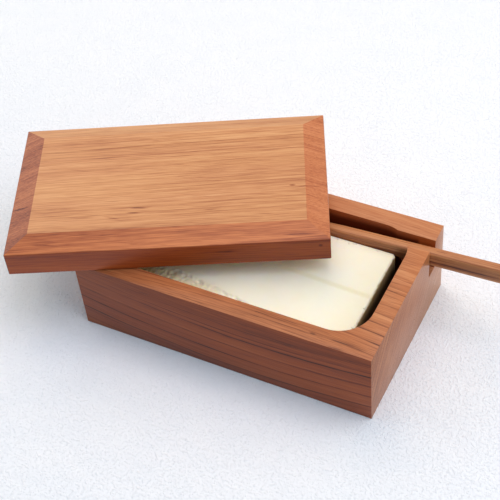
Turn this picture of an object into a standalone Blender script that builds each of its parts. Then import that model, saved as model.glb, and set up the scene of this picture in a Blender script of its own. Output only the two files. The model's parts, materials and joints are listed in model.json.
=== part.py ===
# Lidded wooden butter case: a box hollowed from one block, a loose chamfered lid,
# a wooden butter knife standing on edge in the end slot, and the block of butter.
# Metres, +Z up, origin on the ground at the centre of the box's underside.
import math

import bmesh
import bpy
from mathutils import Vector

# box, hollowed from one block
box_length = 0.1600
box_width = 0.0940
box_height = 0.0434
end_wall = 0.0100
front_wall = 0.0097
back_wall = 0.0100
floor_thickness = 0.0087
hollow_corner_radius = 0.0170
hollow_corner_steps = 14
hollow_floor_fillet = 0.0030

# slot for the knife, cut through the right end wall
slot_width = 0.0080
slot_depth = 0.0187
slot_back_step = 0.0015

# lid, one board as long and as wide as the box, lying askew on the rim
lid_edge_height = 0.0135
lid_chamfer_width = 0.0110
lid_chamfer_rise = 0.0034
lid_shift_x = -0.05482
lid_shift_y = 0.01137
lid_turn_degrees = 26.27

# butter knife, one piece of wood; its origin is on its axis where it leaves the box
knife_out_of_box = 0.0395
knife_tip_gap = 0.0200
knife_below_rim = 0.0068
knife_tilt_degrees = 2.66
handle_end_height = 0.0093
handle_neck_height = 0.0081
handle_end_round = 0.0045
blade_length = 0.0880
blade_thickness = 0.0026
blade_tip_round = 0.0150
deepening_share = 0.35
thinning_share = 0.60
section_points = 24
section_softness = 0.45
flat_end_share = 0.40
tip_steps = 8
straight_steps = 18
handle_end_steps = 5

# block of butter
butter_end_gap = 0.0075
butter_below_rim = 0.0087
butter_edge = 0.0012

# eased edges of the wood, and fits
wood_edge = 0.0005
resting_gap = 0.0003
butter_side_gap = 0.0005
slot_side_play = 0.0020
slot_floor_play = 0.0021
cutter_overshoot = 0.0050

hollow_left = -box_length / 2 + end_wall
hollow_right = box_length / 2 - end_wall
hollow_front = -box_width / 2 + front_wall
hollow_back = box_width / 2 - back_wall
slot_back = hollow_back - slot_back_step
slot_front = slot_back - slot_width
slot_floor = box_height - slot_depth
butter_back = slot_front + resting_gap
handle_thickness = slot_width - slot_side_play
knife_centre_y = butter_back + resting_gap + handle_thickness / 2
knife_length = knife_out_of_box + box_length - end_wall - knife_tip_gap
blade_drop = slot_depth - knife_below_rim - slot_floor_play


def clear_objects():
    for old in list(bpy.data.objects):
        bpy.data.objects.remove(old, do_unlink=True)


def cuboid(left, right, front, back, bottom, top):
    mesh = bmesh.new()
    bmesh.ops.create_cube(mesh, size=1.0)
    for corner in mesh.verts:
        corner.co.x = right if corner.co.x > 0 else left
        corner.co.y = back if corner.co.y > 0 else front
        corner.co.z = top if corner.co.z > 0 else bottom
    return mesh


def round_edges(mesh, edges, radius, steps):
    bmesh.ops.bevel(
        mesh,
        geom=edges,
        offset=radius,
        offset_type="OFFSET",
        segments=steps,
        profile=0.5,
        affect="EDGES",
        clamp_overlap=True,
    )


def upright_edges(mesh):
    return [edge for edge in mesh.edges if abs(edge.verts[0].co.z - edge.verts[1].co.z) > 0.001]


def is_front_right(edge, right, front):
    corner = edge.verts[0].co
    return abs(corner.x - right) < 0.00001 and abs(corner.y - front) < 0.00001


def edges_at_height(mesh, height):
    return [edge for edge in mesh.edges if all(abs(end.co.z - height) < 0.00001 for end in edge.verts)]


def add_object(name, mesh):
    bmesh.ops.recalc_face_normals(mesh, faces=mesh.faces)
    data = bpy.data.meshes.new(name)
    mesh.to_mesh(data)
    mesh.free()
    item = bpy.data.objects.new(name, data)
    bpy.context.scene.collection.objects.link(item)
    return item


def hide_cutter(cutter):
    cutter.hide_render = True
    cutter.display_type = "WIRE"


def cut_away(item, cutter):
    cut = item.modifiers.new(cutter.name, "BOOLEAN")
    cut.operation = "DIFFERENCE"
    cut.solver = "EXACT"
    cut.object = cutter
    hide_cutter(cutter)


def ease_edges(item, width, steps=2):
    bevel = item.modifiers.new("eased_edges", "BEVEL")
    bevel.width = width
    bevel.segments = steps
    bevel.limit_method = "ANGLE"
    bevel.angle_limit = math.radians(40)


def smooth_rounds(item, sharp_degrees):
    item.data.shade_smooth()
    item.data.set_sharp_from_angle(angle=math.radians(sharp_degrees))


def even_out_shading(item):
    item.data.shade_smooth()
    item.modifiers.new("flat_faces_stay_flat", "WEIGHTED_NORMAL")


def plain_material(name, colour, roughness):
    material = bpy.data.materials.new(name)
    material.use_nodes = True
    shader = material.node_tree.nodes["Principled BSDF"]
    shader.inputs["Base Color"].default_value = (*colour, 1.0)
    shader.inputs["Roughness"].default_value = roughness
    shader.inputs["Metallic"].default_value = 0.0
    material.diffuse_color = (*colour, 1.0)
    return material


def box_wood():
    return plain_material("box_cherry", (0.34, 0.145, 0.075), 0.55)


def lid_wood():
    return plain_material("lid_cherry", (0.50, 0.225, 0.105), 0.52)


def knife_wood():
    return plain_material("knife_cherry", (0.36, 0.155, 0.075), 0.50)


def butter_fat():
    return plain_material("butter", (0.90, 0.83, 0.62), 0.38)


def make_hollow_cutter():
    """The hollow for the butter, with round upright corners and a filleted floor."""
    top = box_height + cutter_overshoot
    mesh = cuboid(hollow_left, hollow_right, hollow_front, hollow_back, floor_thickness, top)
    round_edges(mesh, upright_edges(mesh), hollow_corner_radius, hollow_corner_steps)
    round_edges(mesh, edges_at_height(mesh, floor_thickness), hollow_floor_fillet, 4)
    cutter = add_object("hollow_cutter", mesh)
    cutter.data.shade_smooth()
    return cutter


def make_slot_cutter():
    """The knife's slot, from inside the hollow out past the right end."""
    start = hollow_right - hollow_corner_radius
    end = box_length / 2 + cutter_overshoot
    top = box_height + cutter_overshoot
    return add_object("slot_cutter", cuboid(start, end, slot_front, slot_back, slot_floor, top))


def make_box_body():
    half_length = box_length / 2
    half_width = box_width / 2
    mesh = cuboid(-half_length, half_length, -half_width, half_width, 0.0, box_height)
    body = add_object("box_body", mesh)
    cut_away(body, make_hollow_cutter())
    cut_away(body, make_slot_cutter())
    ease_edges(body, wood_edge)
    even_out_shading(body)
    body.data.materials.append(box_wood())
    return body


def lid_pivot():
    """Where the upright line stands about which the lid turns from closed to askew."""
    turn = math.radians(lid_turn_degrees)
    drop = 1 - math.cos(turn)
    swing = math.sin(turn)
    size = drop * drop + swing * swing
    pivot_x = (drop * lid_shift_x - swing * lid_shift_y) / size
    pivot_y = (swing * lid_shift_x + drop * lid_shift_y) / size
    return Vector((pivot_x, pivot_y, box_height + resting_gap))


def make_lid():
    """The closed lid is drawn around the pivot and then turned to where it lies."""
    pivot = lid_pivot()
    left = -box_length / 2 - pivot.x
    front = -box_width / 2 - pivot.y
    mesh = cuboid(left, left + box_length, front, front + box_width, 0.0, lid_edge_height)
    top_face = max(mesh.faces, key=lambda face: face.calc_center_median().z)
    bmesh.ops.inset_region(mesh, faces=[top_face], thickness=lid_chamfer_width, use_even_offset=True)
    for corner in top_face.verts:
        corner.co.z += lid_chamfer_rise
    lid = add_object("lid", mesh)
    lid.location = pivot
    lid.rotation_euler.z = math.radians(lid_turn_degrees)
    ease_edges(lid, wood_edge)
    even_out_shading(lid)
    lid.data.materials.append(lid_wood())
    return lid


def ease_between(start, end, share):
    share = max(0.0, min(1.0, share))
    return start + (end - start) * share * share * (3 - 2 * share)


def knife_shape(along):
    """Reach above and below the axis, and thickness, at a distance from the tip."""
    grip_share = (along - blade_length) / (knife_length - blade_length)
    above = ease_between(handle_neck_height, handle_end_height, grip_share) / 2
    blade_share = 1 - along / blade_length
    below = ease_between(above, blade_drop, blade_share / deepening_share)
    thickness = ease_between(handle_thickness, blade_thickness, blade_share / thinning_share)
    return above, below, thickness


def knife_sections():
    """Distances from the tip, each with how full the section is at the round ends."""
    sections = []
    for step in range(1, tip_steps + 1):
        turn = step / tip_steps * math.pi / 2
        sections.append((blade_tip_round * (1 - math.cos(turn)), math.sin(turn)))
    handle_start = knife_length - handle_end_round
    for step in range(1, straight_steps + 1):
        share = step / straight_steps
        sections.append((blade_tip_round + (handle_start - blade_tip_round) * share, 1.0))
    for step in range(1, handle_end_steps):
        turn = step / handle_end_steps * math.pi / 2
        sections.append((handle_start + handle_end_round * math.sin(turn), math.cos(turn)))
    return sections


def knife_ring(mesh, along, fullness, origin_from_tip):
    """One closed section, a rectangle with softly rounded corners."""
    above, below, thickness = knife_shape(along)
    ring = []
    for point in range(section_points):
        turn = 2 * math.pi * point / section_points
        across = math.copysign(abs(math.cos(turn)) ** section_softness, math.cos(turn))
        upward = math.copysign(abs(math.sin(turn)) ** section_softness, math.sin(turn))
        side = across * thickness / 2 * (flat_end_share + (1 - flat_end_share) * fullness)
        height = (above - below) / 2 + upward * (above + below) / 2 * fullness
        ring.append(mesh.verts.new((along - origin_from_tip, side, height)))
    return ring


def make_butter_knife():
    mesh = bmesh.new()
    origin_from_tip = knife_length - knife_out_of_box
    rings = [knife_ring(mesh, along, full, origin_from_tip) for along, full in knife_sections()]
    for ring, following in zip(rings, rings[1:]):
        for here in range(len(ring)):
            after = (here + 1) % len(ring)
            mesh.faces.new((ring[here], ring[after], following[after], following[here]))
    mesh.faces.new(rings[0])
    mesh.faces.new(rings[-1])
    knife = add_object("butter_knife", mesh)
    knife.location = (box_length / 2, knife_centre_y, box_height - knife_below_rim)
    knife.rotation_euler.y = -math.radians(knife_tilt_degrees)
    smooth_rounds(knife, 50)
    knife.data.materials.append(knife_wood())
    return knife


def make_butter_block():
    """Fills the hollow in front of the knife; its end stands clear of the right wall."""
    left = hollow_left + butter_side_gap
    right = hollow_right - butter_end_gap
    front = hollow_front + butter_side_gap
    bottom = floor_thickness + resting_gap
    top = box_height - butter_below_rim
    mesh = cuboid(left, right, front, butter_back, bottom, top)
    left_corners = [edge for edge in upright_edges(mesh) if edge.verts[0].co.x < 0]
    round_edges(mesh, left_corners, hollow_corner_radius, 8)
    front_right = [edge for edge in upright_edges(mesh) if is_front_right(edge, right, front)]
    round_edges(mesh, front_right, hollow_corner_radius - butter_end_gap, 8)
    round_edges(mesh, edges_at_height(mesh, bottom), hollow_floor_fillet, 3)
    round_edges(mesh, edges_at_height(mesh, top), butter_edge, 2)
    block = add_object("butter_block", mesh)
    smooth_rounds(block, 50)
    block.data.materials.append(butter_fat())
    return block


clear_objects()
make_box_body()
make_lid()
make_butter_knife()
make_butter_block()
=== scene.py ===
# Looks for the wooden butter case: cherry box, chamfered lid, knife in its slot and the butter.
import json
import math
import random

import bmesh
import bpy
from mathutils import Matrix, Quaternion, Vector, noise

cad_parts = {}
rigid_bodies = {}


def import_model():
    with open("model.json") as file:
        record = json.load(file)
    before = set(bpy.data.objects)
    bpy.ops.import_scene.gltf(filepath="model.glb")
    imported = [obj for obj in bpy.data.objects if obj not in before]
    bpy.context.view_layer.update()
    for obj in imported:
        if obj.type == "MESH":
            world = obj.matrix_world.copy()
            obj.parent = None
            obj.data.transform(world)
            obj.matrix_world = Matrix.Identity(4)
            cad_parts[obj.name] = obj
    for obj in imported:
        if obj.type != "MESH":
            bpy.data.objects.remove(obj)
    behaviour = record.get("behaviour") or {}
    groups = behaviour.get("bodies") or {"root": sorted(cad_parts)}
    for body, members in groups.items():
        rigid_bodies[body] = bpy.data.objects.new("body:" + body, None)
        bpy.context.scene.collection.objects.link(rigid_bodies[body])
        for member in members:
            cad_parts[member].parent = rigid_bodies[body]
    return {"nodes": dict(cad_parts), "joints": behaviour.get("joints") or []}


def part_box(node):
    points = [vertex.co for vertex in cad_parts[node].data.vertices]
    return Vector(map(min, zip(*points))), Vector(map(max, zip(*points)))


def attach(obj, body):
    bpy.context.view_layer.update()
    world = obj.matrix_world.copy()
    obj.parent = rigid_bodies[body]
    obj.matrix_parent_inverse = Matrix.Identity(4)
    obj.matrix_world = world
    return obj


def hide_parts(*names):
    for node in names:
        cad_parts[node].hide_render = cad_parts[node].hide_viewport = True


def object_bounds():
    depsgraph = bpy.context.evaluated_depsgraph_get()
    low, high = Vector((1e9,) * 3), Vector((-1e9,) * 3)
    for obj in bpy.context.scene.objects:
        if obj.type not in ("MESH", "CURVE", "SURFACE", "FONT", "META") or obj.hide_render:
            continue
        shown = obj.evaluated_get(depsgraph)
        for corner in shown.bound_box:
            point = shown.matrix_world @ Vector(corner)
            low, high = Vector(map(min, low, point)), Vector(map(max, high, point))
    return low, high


for leftover in list(bpy.data.objects):
    bpy.data.objects.remove(leftover, do_unlink=True)

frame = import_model()
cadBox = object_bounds()
print("frame loaded:", ", ".join(sorted(frame["nodes"])))

millimetres = 1000.0


class Wire:
    # wraps an output socket, so that shader maths reads as ordinary sums
    def __init__(self, socket):
        self.socket = socket

    def maths(self, operation, first, second=0.0):
        node = self.socket.id_data.nodes.new("ShaderNodeMath")
        node.operation = operation
        plug(node.inputs[0], first)
        plug(node.inputs[1], second)
        return Wire(node.outputs[0])

    def __add__(self, other):
        return self.maths("ADD", self, other)

    def __radd__(self, other):
        return self.maths("ADD", other, self)

    def __sub__(self, other):
        return self.maths("SUBTRACT", self, other)

    def __rsub__(self, other):
        return self.maths("SUBTRACT", other, self)

    def __mul__(self, other):
        return self.maths("MULTIPLY", self, other)

    def __rmul__(self, other):
        return self.maths("MULTIPLY", other, self)

    def __truediv__(self, other):
        return self.maths("DIVIDE", self, other)

    def __rtruediv__(self, other):
        return self.maths("DIVIDE", other, self)

    def __pow__(self, other):
        return self.maths("POWER", self, other)

    def __mod__(self, other):
        return self.maths("FLOORED_MODULO", self, other)

    def __abs__(self):
        return self.maths("ABSOLUTE", self)

    def lesser(self, other):
        return self.maths("MINIMUM", self, other)

    def greater(self, other):
        return self.maths("MAXIMUM", self, other)


def plug(socket, value):
    if isinstance(value, Wire):
        socket.id_data.links.new(value.socket, socket)
    elif isinstance(value, (tuple, list, Vector)) and socket.type == "RGBA":
        socket.default_value = (*tuple(value)[:3], 1.0)
    else:
        socket.default_value = value


class Finish:
    # one material and its nodes
    def __init__(self, name):
        self.material = bpy.data.materials.new(name)
        self.material.use_nodes = True
        self.nodes = self.material.node_tree.nodes
        self.shader = self.nodes["Principled BSDF"]

    def node(self, kind, settings=None, sockets=None, output=0):
        made = self.nodes.new(kind)
        for name, value in (settings or {}).items():
            if name == "stops":
                self.setStops(made.color_ramp, value)
            else:
                setattr(made, name, value)
        for name, value in (sockets or {}).items():
            if isinstance(name, int):
                plug(made.inputs[name], value)
            else:
                plug(next(s for s in made.inputs if s.name == name and s.enabled), value)
        if isinstance(output, int):
            return Wire(made.outputs[output])
        return Wire(next(s for s in made.outputs if s.name == output and s.enabled))

    def setStops(self, ramp, stops):
        while len(ramp.elements) < len(stops):
            ramp.elements.new(0.5)
        for element, (place, colour) in zip(ramp.elements, stops):
            element.position = place
            element.color = (*colour, 1.0)

    def set(self, **constants):
        for name, value in constants.items():
            plug(self.shader.inputs[name.replace("_", " ")], value)

    def feed(self, name, wire):
        plug(self.shader.inputs[name], wire)


def cloudy(finish, place, detail=2.0, rough=0.5, warp=0.0):
    sockets = {"Vector": place, "Scale": 1.0, "Detail": detail, "Roughness": rough, "Distortion": warp}
    return finish.node("ShaderNodeTexNoise", None, sockets)


def cloudyLine(finish, along, scale):
    sockets = {"W": along, "Scale": scale, "Detail": 1.0, "Roughness": 0.5}
    return finish.node("ShaderNodeTexNoise", {"noise_dimensions": "1D"}, sockets)


def chanceOf(finish, number):
    # one random value from 0 to 1 for each whole number
    return finish.node("ShaderNodeTexWhiteNoise", {"noise_dimensions": "1D"}, {"W": number})


def stretched(finish, place, x, y, z):
    return finish.node("ShaderNodeVectorMath", {"operation": "MULTIPLY"}, {0: place, 1: (x, y, z)})


def shifted(finish, place, offset):
    return finish.node("ShaderNodeVectorMath", {"operation": "ADD"}, {0: place, 1: offset})


def apart(finish, place):
    first = finish.node("ShaderNodeSeparateXYZ", None, {"Vector": place})
    return [Wire(output) for output in first.socket.node.outputs]


def together(finish, x, y, z):
    return finish.node("ShaderNodeCombineXYZ", None, {0: x, 1: y, 2: z})


def rise(finish, value, low, high, bottom=0.0, top=1.0):
    # a smooth step from bottom to top as the value goes from low to high
    settings = {"interpolation_type": "SMOOTHSTEP", "clamp": True}
    sockets = {"Value": value, "From Min": low, "From Max": high, "To Min": bottom, "To Max": top}
    return finish.node("ShaderNodeMapRange", settings, sockets)


def mixColour(finish, share, first, second, how="MIX"):
    settings = {"data_type": "RGBA", "blend_type": how, "clamp_factor": True}
    return finish.node("ShaderNodeMix", settings, {"Factor": share, "A": first, "B": second}, "Result")


def tinted(finish, share, colour, tint):
    return mixColour(finish, share, colour, tint, "MULTIPLY")


def ramp(finish, value, stops):
    return finish.node("ShaderNodeValToRGB", {"stops": stops}, {0: value})


def bumped(finish, height, strength, depth):
    sockets = {"Strength": strength, "Distance": depth, "Height": height}
    finish.feed("Normal", finish.node("ShaderNodeBump", None, sockets))


def objectPlace(finish):
    return finish.node("ShaderNodeTexCoord", None, None, "Object")


def facingWay(finish):
    return finish.node("ShaderNodeTexCoord", None, None, "Normal")


def inMillimetres(finish, place):
    return stretched(finish, place, millimetres, millimetres, millimetres)


def boardPlace(finish, board):
    # the point in millimetres from the board's own middle, x along the grain, and the face's direction
    turn = {"rotation_type": board["turnAxis"]}
    sockets = {"Center": (0, 0, 0), "Angle": board["turn"]}
    place = shifted(finish, objectPlace(finish), tuple(-board["middle"]))
    place = finish.node("ShaderNodeVectorRotate", turn, {"Vector": place, **sockets})
    facing = finish.node("ShaderNodeVectorRotate", turn, {"Vector": facingWay(finish), **sockets})
    return inMillimetres(finish, place), apart(finish, facing)


def growthRings(finish, place, wood):
    # the distance from the tree's heart, counted in rings
    x, y, z = apart(finish, place)
    across = y - x * wood["heartLean"] - wood["heart"][0]
    upward = z - wood["heart"][1]
    reach = (across * across + upward * upward) ** 0.5
    fromBend = x - wood["bendAt"]
    reach = reach - fromBend * fromBend * wood["bend"] - math.hypot(*wood["heart"])
    sway = cloudy(finish, stretched(finish, place, *wood["swayScale"]), 1.5) - 0.5
    tremble = cloudy(finish, stretched(finish, place, *wood["trembleScale"])) - 0.5
    reach = reach + sway * wood["sway"] + tremble * wood["tremble"]
    rings = (reach + reach * reach * wood["tightening"] + wood["shift"]) / wood["ringWidth"]
    rings = rings + (cloudyLine(finish, rings, wood["unevenScale"]) - 0.5) * wood["unevenness"]
    return reach, rings


def yearTone(finish, rings, wood):
    # each year's wood is a little lighter or darker than the next, and darkens towards its end
    share = rings % 1.0
    chance = chanceOf(finish, rings - share + wood["yearSeed"])
    return (chance - 0.5) * wood["yearAmount"] + (share - 0.5) * wood["lateAmount"]


def darkLines(finish, rings, place, wood):
    # the thin dark line that closes each year's ring, and the boldest years one by one
    share = rings % 1.0
    strength = rise(finish, chanceOf(finish, rings - share), *wood["lineStrength"])
    strength = strength * rise(finish, rings, *wood["lineFade"])
    closing = 1.0 - rise(finish, share, *wood["lineClose"])
    lines = rise(finish, share, *wood["lineOpen"]) * closing * strength
    for at, boldness in wood["boldRings"]:
        lines = lines.greater(rise(finish, abs(rings - at), *wood["boldWidth"]) * boldness)
    broken = cloudy(finish, stretched(finish, place, *wood["breakScale"]))
    return lines * rise(finish, broken, 0.3, 0.6, wood["lineBreak"], 1.0)


def fineGrain(finish, reach, place, wood):
    # broad bands, narrow streaks inside the rings, then the fibres themselves
    x, y, z = apart(finish, place)
    aslant = (y + z) * wood["aslant"]
    along, across = wood["bandScale"]
    bands = cloudy(finish, together(finish, x * along, reach * across, aslant))
    along, across = wood["streakScale"]
    streaks = cloudy(finish, together(finish, x * along, reach * across, aslant), 3.0, 0.75)
    fibres = cloudy(finish, stretched(finish, place, *wood["fibreScale"]), 2.0, 0.6)
    return bands, streaks, fibres


def pores(finish, place, wood):
    # short dark dashes along the grain
    dots = cloudy(finish, stretched(finish, place, *wood["poreScale"]), 1.0)
    return rise(finish, dots, wood["poreLimit"], wood["poreLimit"] + 0.1)


def flecks(finish, place, wood):
    # gum marks and small knots, each an uneven long spot
    wobble = cloudy(finish, stretched(finish, place, *wood["fleckWobble"])) - 0.5
    marks = 0.0
    for spot in wood["flecks"]:
        local = shifted(finish, place, tuple(-Vector(spot["at"])))
        sockets = {"Vector": local, "Center": (0, 0, 0), "Angle": math.radians(spot["tilt"])}
        local = finish.node("ShaderNodeVectorRotate", {"rotation_type": "Z_AXIS"}, sockets)
        local = stretched(finish, local, *[1 / half for half in spot["size"]])
        distance = finish.node("ShaderNodeVectorMath", {"operation": "LENGTH"}, {0: local}, "Value")
        mark = rise(finish, distance + wobble * spot["ragged"], 1.0, 0.2) * spot["dark"]
        marks = mark + marks
    return marks


def nearEdge(finish, place, board):
    # millimetres to the nearest outer edge of the board
    gaps = [half - abs(side) for half, side in zip(board["half"], apart(finish, place))]
    first = gaps[0].greater(gaps[1])
    second = gaps[1].greater(gaps[2])
    return first.lesser(second).lesser(gaps[0].greater(gaps[2]))


def hollowShadeShare(finish, place, board, wood):
    # 1 well inside the walls and below the rim, where painted shade darkens the hollow
    x, y, z = apart(finish, place)
    fromSide = (board["half"].x - abs(x)).lesser(board["half"].y - abs(y))
    return rise(finish, fromSide, *wood["wallDepth"]) * rise(finish, board["half"].z - z, *wood["rimDepth"])


def woodTone(finish, place, facing, grain, wood):
    # 0 is the palest wood and 1 the darkest
    clouds = cloudy(finish, stretched(finish, place, *wood["cloudScale"]))
    tone = (
        wood["tone"]
        + yearTone(finish, grain["rings"], wood)
        + grain["lines"] * wood["lineAmount"]
        + (grain["bands"] - 0.5) * wood["bandAmount"]
        + (grain["streaks"] - 0.5) * wood["streakAmount"]
        + (grain["fibres"] - 0.5) * wood["fibreAmount"]
        + (clouds - 0.5) * wood["cloudAmount"]
        + grain["dashes"] * wood["poreAmount"]
        + flecks(finish, place, wood)
    )
    x, y, z = facing
    low, high = faceLimits["lean"]
    # painted light and shade by the way a face points: sloping faces darker, partly for their cross-cut
    # grain; left-facing darker and right-facing lighter; front-facing darker and back-facing lighter
    tone = tone + rise(finish, abs(x), *faceLimits["slopeTone"]) * wood["slopeGrainAndShade"]
    tone = tone + rise(finish, x, low, high, wood["leftRightPaintedLight"], -wood["leftRightPaintedLight"])
    tone = tone + rise(finish, y, low, high, wood["frontBackPaintedLight"], -wood["frontBackPaintedLight"])
    return tone + grain["reach"] * wood["heartFade"]


def faceShadeAndEndGrain(finish, colour, facing, wood):
    # sloping faces get their cross-cut grain's tint plus painted shade, front-facing and upright side faces
    # get painted shade, and end faces get the end grain's tint
    x, y, z = facing
    colour = tinted(finish, rise(finish, abs(x), *faceLimits["slope"]), colour, wood["slopeGrainAndShadeTint"])
    colour = tinted(finish, rise(finish, y, *faceLimits["front"]), colour, wood["frontShadeTint"])
    colour = tinted(finish, rise(finish, abs(y), *faceLimits["side"]), colour, wood["sideShadeTint"])
    return tinted(finish, rise(finish, abs(x), *faceLimits["end"]), colour, wood["endTint"])


def agedColour(finish, colour, place, grain, board, wood):
    # the year's drift in colour, then the paler worn edges
    along = apart(finish, place)[0] * wood["driftScale"][0]
    drift = cloudy(finish, together(finish, grain["rings"] * wood["driftScale"][1], along, 0.0))
    colour = tinted(finish, rise(finish, drift, 0.4, 0.65) * 0.5, colour, wood["driftColour"])
    ragged = (grain["streaks"] - 0.5) * wood["wornRagged"]
    worn = rise(finish, nearEdge(finish, place, board) + ragged, wood["wornWidth"], 0.0)
    return mixColour(finish, worn * wood["wear"], colour, wood["wornColour"])


def woodFinish(name, wood, board):
    finish = Finish(name)
    place, facing = boardPlace(finish, board)
    reach, rings = growthRings(finish, place, wood)
    lines = darkLines(finish, rings, place, wood)
    bands, streaks, fibres = fineGrain(finish, reach, place, wood)
    dashes = pores(finish, place, wood)
    grain = {"reach": reach, "rings": rings, "lines": lines, "bands": bands}
    grain.update({"streaks": streaks, "fibres": fibres, "dashes": dashes})
    colour = ramp(finish, woodTone(finish, place, facing, grain, wood), wood["colours"])
    colour = faceShadeAndEndGrain(finish, colour, facing, wood)
    # painted shade inside the hollow
    if wood["insideShadeTint"]:
        colour = tinted(finish, hollowShadeShare(finish, place, board, wood), colour, wood["insideShadeTint"])
    finish.feed("Base Color", agedColour(finish, colour, place, grain, board, wood))
    end = rise(finish, abs(facing[0]), *faceLimits["end"])
    dull = wood["roughness"] + (streaks - 0.5) * 0.2 - (fibres - 0.5) * 0.12 + lines * 0.08
    finish.feed("Roughness", dull - end * 0.1)
    relief = fibres * 0.5 + streaks * 0.5 - dashes * 0.8 - lines * 0.4
    bumped(finish, relief, wood["reliefStrength"], wood["reliefDepth"])
    finish.set(IOR=1.5, Specular_IOR_Level=wood["gloss"])
    return finish.material


def joint(name):
    return next(found for found in frame["joints"] if found["name"] == name)


def boxBoard():
    low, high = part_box("box_body")
    half = (high - low) / 2 * millimetres
    return {"middle": (low + high) / 2, "turnAxis": "Z_AXIS", "turn": 0.0, "half": half}


def lidBoard():
    # as long and wide as the box, and turned by as much as closing it turns it back
    low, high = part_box("lid")
    boxHalf = boxBoard()["half"]
    halfEdge = lidWood["edgeHeight"] / 2
    turn = math.radians(joint("lid_swing")["range_deg"][0])
    middle = Vector(((low.x + high.x) / 2, (low.y + high.y) / 2, low.z + halfEdge))
    half = Vector((boxHalf.x, boxHalf.y, halfEdge * millimetres))
    return {"middle": middle, "turnAxis": "Z_AXIS", "turn": turn, "half": half}


def knifeBoard():
    along = joint("knife_draw")["axis"]
    low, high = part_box("butter_knife")
    half = (high - low) / 2 * millimetres
    middle = Vector(joint("knife_draw")["pos_m"])       # on the handle's axis, at the slot's mouth
    return {"middle": middle, "turnAxis": "Y_AXIS", "turn": math.atan2(along[2], along[0]), "half": half}


# how far a face must point along x or y, from none of its tint to all of it
faceLimits = {
    "lean": (-0.3, 0.3),
    "slopeTone": (0.05, 0.32),
    "slope": (0.05, 0.28),
    "front": (-0.05, -0.28),
    "side": (0.6, 0.9),
    "end": (0.5, 0.9),
}

# lengths are in millimetres from the board's middle, and scales are per millimetre
boxWood = {
    "heart": (225.0, -198.0),       # across and up
    "heartLean": 0.0,
    "bendAt": 12.0,
    "bend": 0.0006,
    "ringWidth": 4.4,
    "tightening": 0.0,
    "shift": 3.9,
    "unevenness": 0.08,
    "unevenScale": 0.7,
    "sway": 1.0,
    "swayScale": (0.012, 0.03, 0.03),
    "tremble": 0.5,
    "trembleScale": (0.05, 0.25, 0.25),
    "yearSeed": 31.0,
    "lineOpen": (0.84, 0.95),       # share of a ring
    "lineClose": (0.96, 1.0),
    "lineStrength": (0.4, 1.3),
    "lineFade": (0.0, 1.0, 1.0, 1.0),
    "boldRings": [(9.9, 0.8), (10.3, 0.5), (8.93, 0.6), (7.93, 0.7), (6.93, 0.55), (11.1, 0.25), (4.4, 0.5)],
    "boldWidth": (0.085, 0.02),
    "breakScale": (0.03, 0.2, 0.2),
    "lineBreak": 0.3,
    "tone": 0.34,
    "yearAmount": 0.14,
    "lateAmount": 0.12,
    "lineAmount": 0.6,
    "bandAmount": 0.22,
    "bandScale": (0.006, 0.16),     # along the grain and across the rings
    "streakAmount": 0.7,
    "streakScale": (0.0055, 1.1),
    "aslant": 0.05,
    "fibreAmount": 0.52,
    "fibreScale": (0.07, 1.9, 1.9),
    "cloudAmount": 0.3,
    "cloudScale": (0.012, 0.06, 0.06),
    "poreScale": (0.09, 2.0, 2.0),
    "poreLimit": 0.62,
    "poreAmount": 0.2,
    "fleckWobble": (0.12, 0.7, 0.7),
    "flecks": [
        {"at": (49.0, -42.3, 21.7), "size": (2.6, 0.9, 2.0), "tilt": 0.0, "ragged": 0.8, "dark": 0.3},
        {"at": (30.0, -42.7, 21.7), "size": (42.0, 0.5, 1.5), "tilt": 0.0, "ragged": 0.5, "dark": 0.22},
        {"at": (67.0, -42.0, 21.7), "size": (11.0, 3.2, 3.0), "tilt": 0.0, "ragged": 1.4, "dark": 0.14},
    ],
    "colours": [
        (0.0, (0.66, 0.285, 0.115)),
        (0.4, (0.475, 0.157, 0.052)),
        (0.7, (0.27, 0.076, 0.024)),
        (1.0, (0.06, 0.017, 0.008)),
    ],
    "driftColour": (0.88, 0.82, 0.90),
    "driftScale": (0.008, 0.35),
    "slopeGrainAndShade": 0.0,
    "leftRightPaintedLight": 0.0,
    "frontBackPaintedLight": 0.0,
    "slopeGrainAndShadeTint": (1.0, 1.0, 1.0),
    "frontShadeTint": (1.0, 1.0, 1.0),
    # painted shade on the upright front and back faces
    "sideShadeTint": (0.70, 0.37, 0.14),
    "endTint": (0.76, 0.76, 0.80),
    # painted shade inside the hollow
    "insideShadeTint": (0.32, 0.19, 0.12),
    "wallDepth": (8.0, 9.5),        # where the painted inside shade starts, in from the sides
    "rimDepth": (0.3, 5.0),         # and down from the rim
    "heartFade": 0.0032,
    "wear": 0.06,
    "wornWidth": 0.5,
    "wornRagged": 0.8,
    "wornColour": (0.60, 0.22, 0.09),
    "roughness": 0.42,
    "gloss": 0.38,
    "reliefStrength": 0.4,
    "reliefDepth": 0.0001,
}

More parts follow.
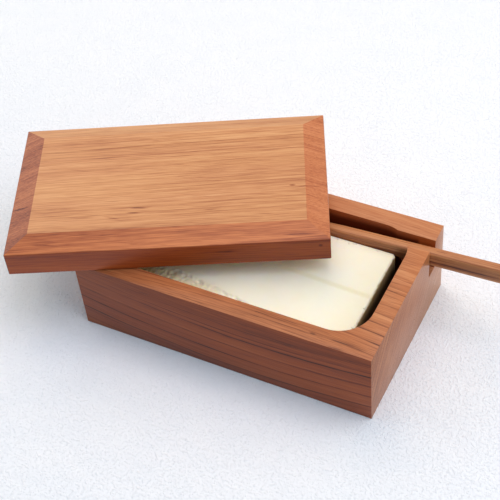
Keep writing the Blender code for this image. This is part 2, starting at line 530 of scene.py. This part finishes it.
lidWood = {
    **boxWood,
    "edgeHeight": 0.0135,           # metres, below the chamfer
    "heart": (-203.0, 161.0),
    "heartLean": 0.032,
    "bend": 0.0,
    "ringWidth": 2.4,
    "tightening": 0.0054,
    "shift": 0.0,
    "unevenness": 0.6,
    "sway": 0.6,
    "swayScale": (0.009, 0.03, 0.03),
    "tremble": 0.15,
    "lineOpen": (0.74, 0.95),
    "lineStrength": (0.1, 1.0),
    "lineFade": (-9.0, 4.0, 0.3, 1.25),
    "boldRings": [(2.2, 0.6), (3.3, 0.45), (-1.5, 0.6), (-0.9, 0.45)],
    "lineBreak": 0.55,
    "tone": 0.38,
    "yearAmount": 0.08,
    "lateAmount": 0.05,
    "lineAmount": 0.2,
    "bandAmount": 0.6,
    "streakAmount": 0.6,
    "fibreAmount": 0.8,
    "poreAmount": 0.12,
    "flecks": [
        {"at": (-14.3, -21.5, 9.0), "size": (7.5, 0.8, 14.0), "tilt": 2.0, "ragged": 1.0, "dark": 0.46},
        {"at": (-17.0, -25.0, 9.0), "size": (5.5, 0.8, 14.0), "tilt": 4.0, "ragged": 1.0, "dark": 0.38},
        {"at": (-27.0, -28.0, 9.0), "size": (6.0, 0.9, 14.0), "tilt": 18.0, "ragged": 1.2, "dark": 0.2},
        {"at": (62.5, -10.6, 9.0), "size": (2.2, 1.0, 14.0), "tilt": 0.0, "ragged": 0.8, "dark": 0.4},
        {"at": (70.0, -11.6, 9.0), "size": (9.0, 0.5, 14.0), "tilt": -8.0, "ragged": 0.5, "dark": 0.3},
        {"at": (21.0, -25.5, 9.0), "size": (4.5, 0.8, 14.0), "tilt": 0.0, "ragged": 1.2, "dark": 0.18},
        {"at": (-44.0, -26.8, 9.0), "size": (8.0, 0.9, 14.0), "tilt": 0.0, "ragged": 1.2, "dark": 0.16},
        {"at": (-76.0, -16.0, 8.0), "size": (6.0, 0.7, 14.0), "tilt": 3.0, "ragged": 0.6, "dark": 0.4},
        {"at": (66.0, -43.5, 7.0), "size": (10.0, 0.9, 14.0), "tilt": 0.0, "ragged": 1.2, "dark": 0.3},
        {"at": (-61.0, -42.4, 7.0), "size": (7.0, 0.8, 14.0), "tilt": 0.0, "ragged": 1.2, "dark": 0.24},
        {"at": (28.0, -47.0, 2.0), "size": (8.0, 3.0, 0.9), "tilt": 0.0, "ragged": 1.0, "dark": 0.3},
        {"at": (75.0, -47.0, 3.0), "size": (1.6, 3.0, 1.2), "tilt": 0.0, "ragged": 0.6, "dark": 0.5},
    ],
    "colours": [
        (0.0, (0.76, 0.400, 0.176)),
        (0.4, (0.59, 0.256, 0.099)),
        (0.7, (0.37, 0.122, 0.044)),
        (1.0, (0.10, 0.025, 0.010)),
    ],
    "driftColour": (0.95, 0.90, 0.95),
    # chamfers: darker and redder partly for their cross-cut grain and partly as painted shade; left- and
    # front-facing faces get painted shade, right- and back-facing ones painted light
    "slopeGrainAndShade": 0.10,
    "leftRightPaintedLight": 0.13,
    "frontBackPaintedLight": 0.08,
    "slopeGrainAndShadeTint": (0.90, 0.68, 0.64),
    # painted shade on faces that point towards the front
    "frontShadeTint": (0.98, 0.70, 0.55),
    # painted shade on the upright front and back faces
    "sideShadeTint": (0.62, 0.34, 0.15),
    "endTint": (0.68, 0.53, 0.43),
    "insideShadeTint": None,
    "heartFade": -0.0018,
    "wornColour": (0.66, 0.30, 0.14),
    "roughness": 0.40,
}

knifeWood = {
    **boxWood,
    "heart": (90.0, 60.0),
    "bend": 0.0,
    "ringWidth": 1.9,
    "sway": 0.8,
    "shift": 0.0,
    "boldRings": [],
    "flecks": [
        {"at": (16.0, -3.0, -0.6), "size": (26.0, 6.0, 1.1), "tilt": 0.0, "ragged": 0.8, "dark": 0.45},
        {"at": (-22.0, -3.0, -0.3), "size": (15.0, 6.0, 1.0), "tilt": 0.0, "ragged": 0.8, "dark": 0.4},
    ],
    "streakAmount": 0.9,
    "heartFade": 0.0,
    "wear": 0.0,
    # painted shade on the knife's flat sides
    "sideShadeTint": (0.85, 0.75, 0.68),
    "endTint": (0.8, 0.7, 0.65),
    "insideShadeTint": None,
    "colours": lidWood["colours"],
    "tone": 0.50,
    "wornColour": (0.62, 0.30, 0.15),
}

sharpEdges = {"box": 50, "lid": 12, "knife": 50}        # degrees; anything less is shaded smooth


def boxCherry():
    return woodFinish("boxCherry", boxWood, boxBoard())


def lidCherry():
    return woodFinish("lidCherry", lidWood, lidBoard())


def knifeCherry():
    return woodFinish("knifeCherry", knifeWood, knifeBoard())


def softRounds(sharpDegrees):
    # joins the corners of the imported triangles, then shades rounds smooth and keeps real edges crisp
    tree = bpy.data.node_groups.new("softRounds", "GeometryNodeTree")
    tree.interface.new_socket("Geometry", in_out="INPUT", socket_type="NodeSocketGeometry")
    tree.interface.new_socket("Geometry", in_out="OUTPUT", socket_type="NodeSocketGeometry")
    start = tree.nodes.new("NodeGroupInput")
    merge = tree.nodes.new("GeometryNodeMergeByDistance")
    merge.inputs["Distance"].default_value = 0.000001
    angle = tree.nodes.new("GeometryNodeInputMeshEdgeAngle")
    compare = tree.nodes.new("FunctionNodeCompare")
    compare.data_type = "FLOAT"
    compare.operation = "GREATER_THAN"
    compare.inputs[1].default_value = math.radians(sharpDegrees)
    shade = tree.nodes.new("GeometryNodeSetMeshNormal")
    shade.mode = "SHARPNESS"
    shade.inputs["Remove Custom"].default_value = True
    end = tree.nodes.new("NodeGroupOutput")
    tree.links.new(start.outputs[0], merge.inputs[0])
    tree.links.new(merge.outputs[0], shade.inputs["Mesh"])
    tree.links.new(angle.outputs["Unsigned Angle"], compare.inputs[0])
    tree.links.new(compare.outputs["Result"], shade.inputs["Edge Sharpness"])
    tree.links.new(shade.outputs[0], end.inputs[0])
    return tree


def dress(node, material, sharpDegrees):
    item = frame["nodes"][node]
    item.data.materials.clear()
    item.data.materials.append(material)
    smooth = item.modifiers.new("softRounds", "NODES")
    smooth.node_group = softRounds(sharpDegrees)


def dressWood():
    dress("box_body", boxCherry(), sharpEdges["box"])
    dress("lid", lidCherry(), sharpEdges["lid"])
    dress("butter_knife", knifeCherry(), sharpEdges["knife"])
    print("wood finished")


# metres, from the block's middle unless a note says otherwise
butterLook = {
    "voxel": 0.00055,
    "leftRadius": 0.0165,
    "rightRadius": 0.0088,
    "farRadius": 0.0014,
    "topRadius": 0.0011,
    "footRadius": 0.0032,
    "creaseStart": (0.0158, 0.0038),
    "creaseEnd": (0.0547, 0.0020),
    "stepDown": 0.0007,
    "stepWidth": 0.0030,
    "stepFrom": (0.060, 0.025),             # from the left side, then how long it takes to start
    "waves": [(60.0, 0.00012), (350.0, 0.00006)],
    "topBand": 0.004,                       # below this the block keeps its plain shape
    # along from the middle, and back from the front side
    "scrapedLimit": [(-0.043, 0.0145), (-0.034, 0.0135), (-0.023, 0.0128), (-0.006, 0.0098), (0.018, 0.0066)],
    "scrapedEdge": (0.0012, 0.0009),        # how ragged, then how soft
    "scrapedFade": 0.012,
    "scrapedDepth": 0.0013,
    "scrapedLumps": [(420.0, 1.2), (1000.0, 0.5)],
    "raggedRight": 0.0005,
    "raggedBites": [(450.0, 0.6), (1100.0, 0.6)],
    "raggedFromRight": (0.003, 0.0025),     # where it starts, then how soft
    "raggedFromTop": (0.005, 0.003),
}

crumbLook = {
    "count": 9,
    "seed": 7,
    "size": (0.0003, 0.0007),
    "inFromRight": (0.0012, 0.0020),
    "backFromFront": (0.010, 0.034),
    "alongFarSide": (0.006, 0.036),
    "inFromFarSide": (0.0012, 0.0024),
    "lumpScale": 1500,
    "lumpAmount": 0.7,
    "squash": Vector((1.4, 1.0, 0.6)),
}

fatLook = {
    "colour": (1.0, 0.918, 0.74),
    "deepColour": (0.90, 0.77, 0.40),
    "tornPitShadeColour": (0.90, 0.74, 0.42),
    "sideShadeColour": (0.72, 0.58, 0.26),
    "shadeColour": (0.06, 0.045, 0.015),
    "mottleScale": (0.06, 0.06, 0.06),
    "grainScale": (0.9, 0.9, 0.9),
    "mottleShare": 0.12,
    "endShare": 0.2,
    "endReach": 0.022,
    "creaseShare": 0.35,
    "creaseWidth": (2.0, 0.2),              # millimetres
    "creaseFade": (0.004, 0.020),           # along the block, in metres
    "tornShare": 0.7,
    "tornFade": (0.006, -0.020),
    "tornFromFront": (0.0145, 0.0070),
    "buriedDepth": (0.0005, 0.010),
    "roughness": 0.42,
    "reliefStrength": 0.25,
    "reliefDepth": 0.0003,
}


def creaseHeight(x, middle):
    # where the old cut crosses the top, as y for a given x; x may be a number or a wire
    (startX, startY), (endX, endY) = butterLook["creaseStart"], butterLook["creaseEnd"]
    slope = (endY - startY) / (endX - startX)
    return x * slope + (middle.y + startY - (middle.x + startX) * slope)


def butterFat():
    low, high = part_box("butter_block")
    finish = Finish("butterFat")
    place = objectPlace(finish)
    x, y, z = apart(finish, place)
    place = inMillimetres(finish, place)
    mottle = cloudy(finish, stretched(finish, place, *fatLook["mottleScale"]), 3.0)
    grain = cloudy(finish, stretched(finish, place, *fatLook["grainScale"]), 3.0)
    upward = apart(finish, facingWay(finish))[2]
    colour, deep = fatLook["colour"], fatLook["deepColour"]
    colour = mixColour(finish, rise(finish, mottle, 0.35, 0.7) * fatLook["mottleShare"], colour, deep)
    towardsEnd = rise(finish, x, high.x - fatLook["endReach"], high.x)
    colour = mixColour(finish, towardsEnd * fatLook["endShare"], colour, deep)
    # painted shade: a darker yellow line along the foot of the old cut's step
    fromCrease = (y - creaseHeight(x, (low + high) / 2)) * millimetres
    crease = rise(finish, abs(fromCrease + 0.6), *fatLook["creaseWidth"])
    crease = crease * rise(finish, x, *fatLook["creaseFade"])
    colour = mixColour(finish, crease * fatLook["creaseShare"], colour, deep)
    # painted shade: the scraped strip along the front is tinted darker ochre for the shade in its small pits
    deepest, shallowest = fatLook["tornFromFront"]
    torn = rise(finish, y, low.y + deepest, low.y + shallowest) * rise(finish, x, *fatLook["tornFade"])
    colour = mixColour(finish, torn * fatLook["tornShare"], colour, fatLook["tornPitShadeColour"])
    # painted shade: faces that don't point up are darker than the top, and darker still further below the top
    side = rise(finish, upward, 0.8, 0.2)
    colour = mixColour(finish, side, colour, fatLook["sideShadeColour"])
    shallow, full = fatLook["buriedDepth"]
    buried = rise(finish, z, high.z - shallow, high.z - full) * side
    finish.feed("Base Color", mixColour(finish, buried, colour, fatLook["shadeColour"]))
    finish.feed("Roughness", fatLook["roughness"] + (grain - 0.5) * 0.2)
    bumped(finish, grain, fatLook["reliefStrength"], fatLook["reliefDepth"])
    finish.set(Subsurface_Weight=0.5, Subsurface_Radius=(0.004, 0.003, 0.0016), Subsurface_Scale=0.5)
    finish.set(IOR=1.46)
    return finish.material


def rounded(mesh, edges, radius, steps):
    bmesh.ops.bevel(mesh, geom=edges, offset=radius, segments=steps, profile=0.5, affect="EDGES")


def levelEdges(mesh, height):
    return [e for e in mesh.edges if all(abs(v.co.z - height) < 0.00001 for v in e.verts)]


def roundedBlock(low, high):
    mesh = bmesh.new()
    bmesh.ops.create_cube(mesh, size=1.0)
    for corner in mesh.verts:
        for axis in range(3):
            corner.co[axis] = high[axis] if corner.co[axis] > 0 else low[axis]
    upright = [e for e in mesh.edges if abs(e.verts[0].co.z - e.verts[1].co.z) > 0.001]
    left = [e for e in upright if e.verts[0].co.x < 0]
    right = [e for e in upright if e.verts[0].co.x > 0 and e.verts[0].co.y < 0]
    far = [e for e in upright if e.verts[0].co.x > 0 and e.verts[0].co.y > 0]
    rounded(mesh, left, butterLook["leftRadius"], 10)
    rounded(mesh, right, butterLook["rightRadius"], 10)
    rounded(mesh, far, butterLook["farRadius"], 1)
    rounded(mesh, levelEdges(mesh, high.z), butterLook["topRadius"], 3)
    rounded(mesh, levelEdges(mesh, low.z), butterLook["footRadius"], 6)     # clears the hollow's fillet
    return mesh


def smoothShare(value):
    value = max(0.0, min(1.0, value))
    return value * value * (3 - 2 * value)


def lumpiness(spot, lumps):
    return sum(abs(noise.noise(spot * scale)) * height for scale, height in lumps)


def scrapedShare(x, y, low, high):
    # 1 inside the torn strip along the front, 0 outside
    middle = (low.x + high.x) / 2
    limits = [(middle + along, low.y + deep) for along, deep in butterLook["scrapedLimit"]]
    if x < limits[0][0]:
        limit = limits[0][1]
    elif x > limits[-1][0]:
        return 0.0
    else:
        pair = next(pair for pair in zip(limits, limits[1:]) if x <= pair[1][0])
        (startX, startY), (endX, endY) = pair
        limit = startY + (endY - startY) * (x - startX) / (endX - startX)
    ragged, soft = butterLook["scrapedEdge"]
    wobble = noise.noise(Vector((x * 400, y * 200, 3.1))) * ragged
    fade = smoothShare((limits[-1][0] - x) / butterLook["scrapedFade"])
    return smoothShare((limit + wobble - y) / soft) * fade


def topDrop(spot, low, high):
    # how far the top lies below the highest cut, in metres
    start, run = butterLook["stepFrom"]
    beyond = spot.y - creaseHeight(spot.x, (low + high) / 2)
    started = smoothShare((spot.x - low.x - start) / run)
    drop = butterLook["stepDown"] * (1.0 - smoothShare(beyond / butterLook["stepWidth"] + 0.7)) * started
    drop += lumpiness(spot, butterLook["waves"])
    torn = scrapedShare(spot.x, spot.y, low, high)
    if torn > 0:
        drop += butterLook["scrapedDepth"] * torn * (0.25 + lumpiness(spot, butterLook["scrapedLumps"]))
    return drop


def rightBite(spot, high):
    # how much is torn off the right-hand top edge, in metres
    start, soft = butterLook["raggedFromRight"]
    share = smoothShare((spot.x - high.x + start) / soft)
    start, soft = butterLook["raggedFromTop"]
    share *= smoothShare((spot.z - high.z + start) / soft)
    if share == 0:
        return 0.0
    bites = sum(max(0.0, noise.noise(spot * scale)) * depth for scale, depth in butterLook["raggedBites"])
    return bites * butterLook["raggedRight"] * share


def fineCopy(block):
    # the same shape in small even faces
    remesh = block.modifiers.new("fineGrid", "REMESH")
    remesh.mode = "VOXEL"
    remesh.voxel_size = butterLook["voxel"]
    graph = bpy.context.evaluated_depsgraph_get()
    fine = bpy.data.meshes.new_from_object(block.evaluated_get(graph), depsgraph=graph)
    block.modifiers.clear()
    return fine


def meshObject(name, mesh):
    data = bpy.data.meshes.new(name)
    mesh.to_mesh(data)
    mesh.free()
    made = bpy.data.objects.new(name, data)
    bpy.context.scene.collection.objects.link(made)
    return made


def finishButter(item, fat):
    for face in item.data.polygons:
        face.use_smooth = True
    item.data.materials.clear()
    item.data.materials.append(fat)
    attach(item, "butter")


def makeButterSlab(low, high):
    block = meshObject("butterSlab", roundedBlock(low, high))
    block.data = fineCopy(block)
    band = butterLook["topBand"]
    for point in block.data.vertices:
        spot = point.co.copy()
        topShare = max(0.0, min(1.0, (spot.z - high.z + band) / band))
        if topShare > 0:
            point.co.z = min(high.z, spot.z - topDrop(spot, low, high) * topShare)
        bite = rightBite(spot, high)
        point.co.x -= bite
        point.co.z -= bite * 0.5
    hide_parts("butter_block")
    return block


def crumbPlace(chance, index, low, high):
    # every third crumb lies a step down along the right-hand edge, and the rest along the far one
    if index % 3 == 0:
        x = high.x - chance.uniform(*crumbLook["inFromRight"])
        y = low.y + chance.uniform(*crumbLook["backFromFront"])
        return Vector((x, y, high.z - butterLook["stepDown"]))
    x = high.x - chance.uniform(*crumbLook["alongFarSide"])
    y = high.y - chance.uniform(*crumbLook["inFromFarSide"])
    return Vector((x, y, high.z))


def makeCrumbs(low, high):
    chance = random.Random(crumbLook["seed"])
    mesh = bmesh.new()
    for index in range(crumbLook["count"]):
        size = chance.uniform(*crumbLook["size"])
        place = crumbPlace(chance, index, low, high)
        bit = bmesh.ops.create_icosphere(mesh, subdivisions=2, radius=size)
        for point in bit["verts"]:
            wave = noise.noise(point.co * crumbLook["lumpScale"] + Vector((index, 0, 0)))
            lumpy = 1 + wave * crumbLook["lumpAmount"]
            point.co = point.co * lumpy * crumbLook["squash"] + place
    return meshObject("butterCrumbs", mesh)


def makeButter():
    low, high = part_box("butter_block")
    fat = butterFat()
    slab = makeButterSlab(low, high)
    crumbs = makeCrumbs(low, high)
    finishButter(slab, fat)
    finishButter(crumbs, fat)
    print("butter made:", len(slab.data.polygons), "faces,", len(crumbs.data.polygons), "in crumbs")


floorLook = {
    "colour": (0.90, 0.905, 0.915),
    "patchColour": (0.84, 0.865, 0.895),
    "patchShare": 0.3,
    "size": 3.0,
    "gap": 0.0002,                  # below the box's underside
    "gritScale": (0.7, 0.8, 0.7),
    "broadScale": (0.04, 0.06, 0.05),
    "gritHeight": 0.55,
    "broadHeight": 1.3,
    "reliefStrength": 0.65,
    "reliefDepth": 0.001,
    "roughness": 0.75,
}

skyLook = {"colour": (0.26, 0.68, 1.0), "strength": 0.38}

# azimuth is from straight back towards the right, and brightness is beside white paper's
windows = {
    "warmWindow": {"azimuth": -35, "elevation": 60, "size": (0.9, 0.9), "brightness": (1.9, 1.3, 0.8)},
    "skylight": {"azimuth": -10, "elevation": 85, "size": (0.7, 0.7), "brightness": (1.6, 1.5, 1.4)},
    "rightWindow": {"azimuth": 90, "elevation": 65, "size": (0.9, 0.9), "brightness": (2.1, 1.8, 2.1)},
    "rightWall": {"azimuth": 75, "elevation": 28, "size": (2.4, 1.12), "brightness": (1.25, 1.2, 0.97)},
    "leftWall": {"azimuth": -80, "elevation": 30, "size": (1.4, 0.9), "brightness": (1.4, 1.31, 1.22)},
}
windowDistance = 1.2


def plasterFloor():
    finish = Finish("plasterFloor")
    place = inMillimetres(finish, objectPlace(finish))
    fine = cloudy(finish, stretched(finish, place, *floorLook["gritScale"]), 2.5, 0.6)
    broad = cloudy(finish, stretched(finish, place, *floorLook["broadScale"]), 3.0, 0.5, 0.6)
    patches = rise(finish, broad, 0.3, 0.7) * floorLook["patchShare"]
    colour = mixColour(finish, patches, floorLook["colour"], floorLook["patchColour"])
    finish.feed("Base Color", colour)
    finish.feed("Roughness", floorLook["roughness"] + (fine - 0.5) * 0.2)
    grit = rise(finish, fine, 0.45, 0.78)
    height = grit * floorLook["gritHeight"] + broad * floorLook["broadHeight"]
    bumped(finish, height, floorLook["reliefStrength"], floorLook["reliefDepth"])
    return finish.material


def makeFloor():
    mesh = bmesh.new()
    bmesh.ops.create_grid(mesh, x_segments=8, y_segments=8, size=floorLook["size"])
    floor = meshObject("floor", mesh)
    floor.location.z = -floorLook["gap"]
    floor.data.materials.append(plasterFloor())
    print("floor laid")


def direction(azimuth, elevation):
    # a unit vector, azimuth from straight back towards the right
    azimuth, elevation = math.radians(azimuth), math.radians(elevation)
    flat = math.cos(elevation)
    return Vector((math.sin(azimuth) * flat, math.cos(azimuth) * flat, math.sin(elevation)))


def makeWindow(name, look, middle):
    light = bpy.data.lights.new(name, "AREA")
    light.shape = "RECTANGLE"
    light.size, light.size_y = look["size"]
    light.energy = math.pi * look["size"][0] * look["size"][1]
    light.color = look["brightness"]
    window = bpy.data.objects.new(name, light)
    towards = direction(look["azimuth"], look["elevation"])
    window.location = middle + towards * windowDistance
    window.rotation_mode = "QUATERNION"
    window.rotation_quaternion = (-towards).to_track_quat("-Z", "Y")
    window.visible_camera = False
    bpy.context.scene.collection.objects.link(window)


def makeLights():
    middle = (cadBox[0] + cadBox[1]) / 2
    for name, look in windows.items():
        makeWindow(name, look, middle)
    world = bpy.data.worlds.new("sky")
    world.use_nodes = True
    sky = world.node_tree.nodes["Background"]
    plug(sky.inputs["Color"], skyLook["colour"])
    plug(sky.inputs["Strength"], skyLook["strength"])
    bpy.context.scene.world = world
    bpy.context.scene.view_settings.view_transform = "Standard"
    print("lights set")


# azimuth is from straight in front towards the right, in degrees, and the rest is in metres
cameraLook = {
    "azimuth": 30.89,
    "elevation": 45.44,
    "roll": -6.16,
    "distance": 0.639,
    "lens": 87.80,                  # millimetres, as is the sensor
    "sensor": 36.0,
    "clip": (0.01, 20.0),
    "aimFromBox": (-0.0144, 0.0154, -0.0024),
}


def makeCamera():
    low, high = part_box("box_body")
    camera = bpy.data.objects.new("camera", bpy.data.cameras.new("camera"))
    back = direction(180 - cameraLook["azimuth"], cameraLook["elevation"])
    aim = (low + high) / 2 + Vector(cameraLook["aimFromBox"])
    camera.location = aim + back * cameraLook["distance"]
    camera.rotation_mode = "QUATERNION"
    roll = Quaternion((0, 0, 1), math.radians(cameraLook["roll"]))
    camera.rotation_quaternion = (-back).to_track_quat("-Z", "Y") @ roll
    camera.data.lens = cameraLook["lens"]
    camera.data.sensor_width = cameraLook["sensor"]
    camera.data.clip_start, camera.data.clip_end = cameraLook["clip"]
    bpy.context.scene.collection.objects.link(camera)
    bpy.context.scene.camera = camera
    print("camera set")


dressWood()
makeButter()
makeFloor()
makeLights()
makeCamera()
